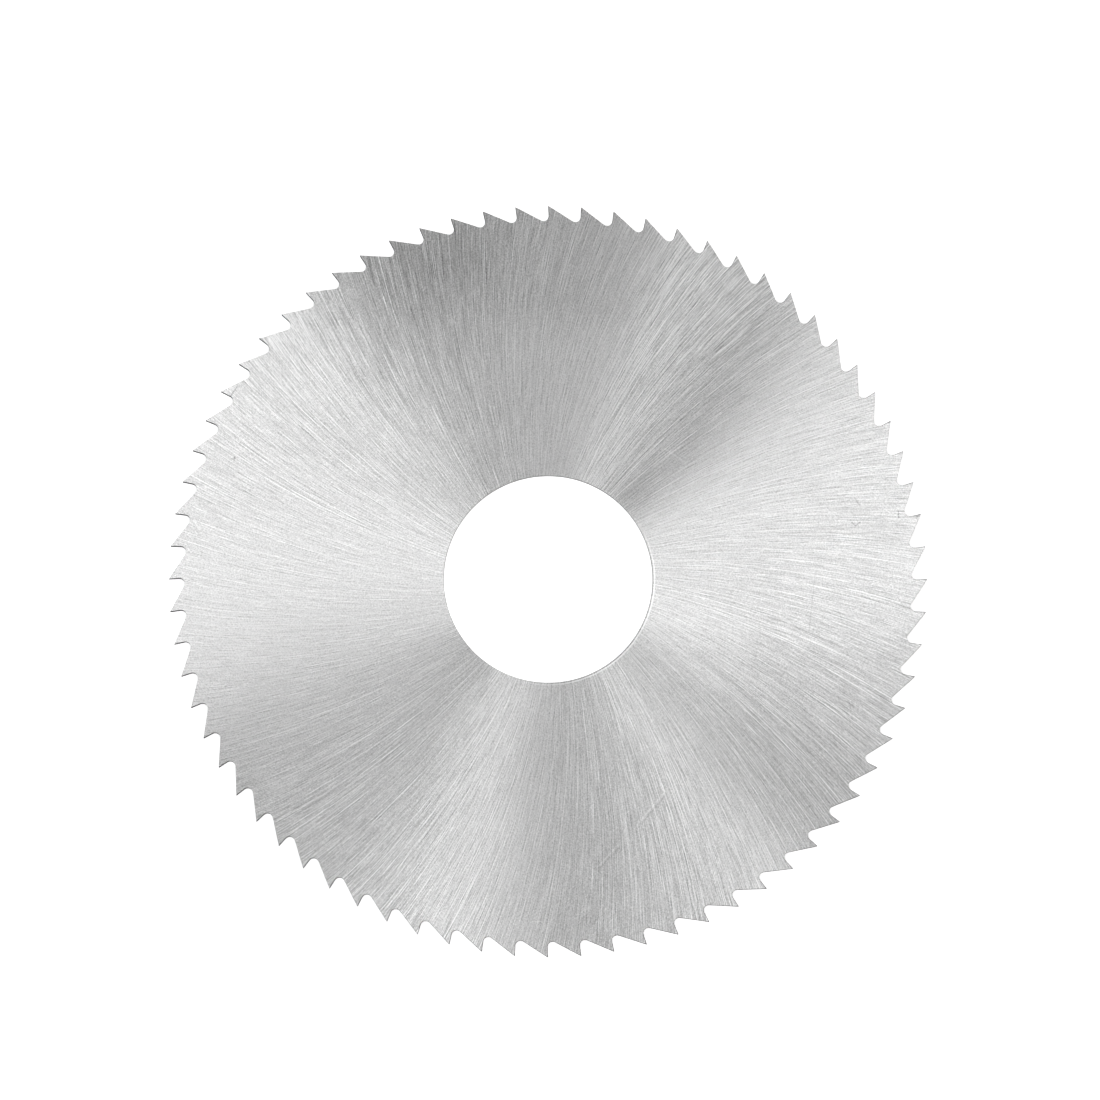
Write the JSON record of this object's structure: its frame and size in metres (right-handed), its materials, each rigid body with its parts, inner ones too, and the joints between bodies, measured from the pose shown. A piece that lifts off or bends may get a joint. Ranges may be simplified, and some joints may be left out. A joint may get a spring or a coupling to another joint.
{
  "type": "slitting saw",
  "caption": "Thin round steel disc with a plain centre bore, hollow ground sides and a ring of fine saw teeth, for cutting narrow slots in metal on a milling arbor.",
  "frame": {"origin": "on the bore axis, in the plane that the saw lies on, which is the plane of the lower corners of the tooth tips", "axes": "+Z along the bore axis, away from the surface that the saw lies on; +X through one tooth tip; seen from +Z the teeth cut counter-clockwise"},
  "size_m": [0.08, 0.08, 0.0005],
  "materials": {
    "ground_steel": "bright hardened steel, ground on both sides with fine lines that sweep out from the bore in shallow arcs"
  },
  "bodies": {
    "root": {"saw_blade": "ground_steel"}
  },
  "joints": []
}
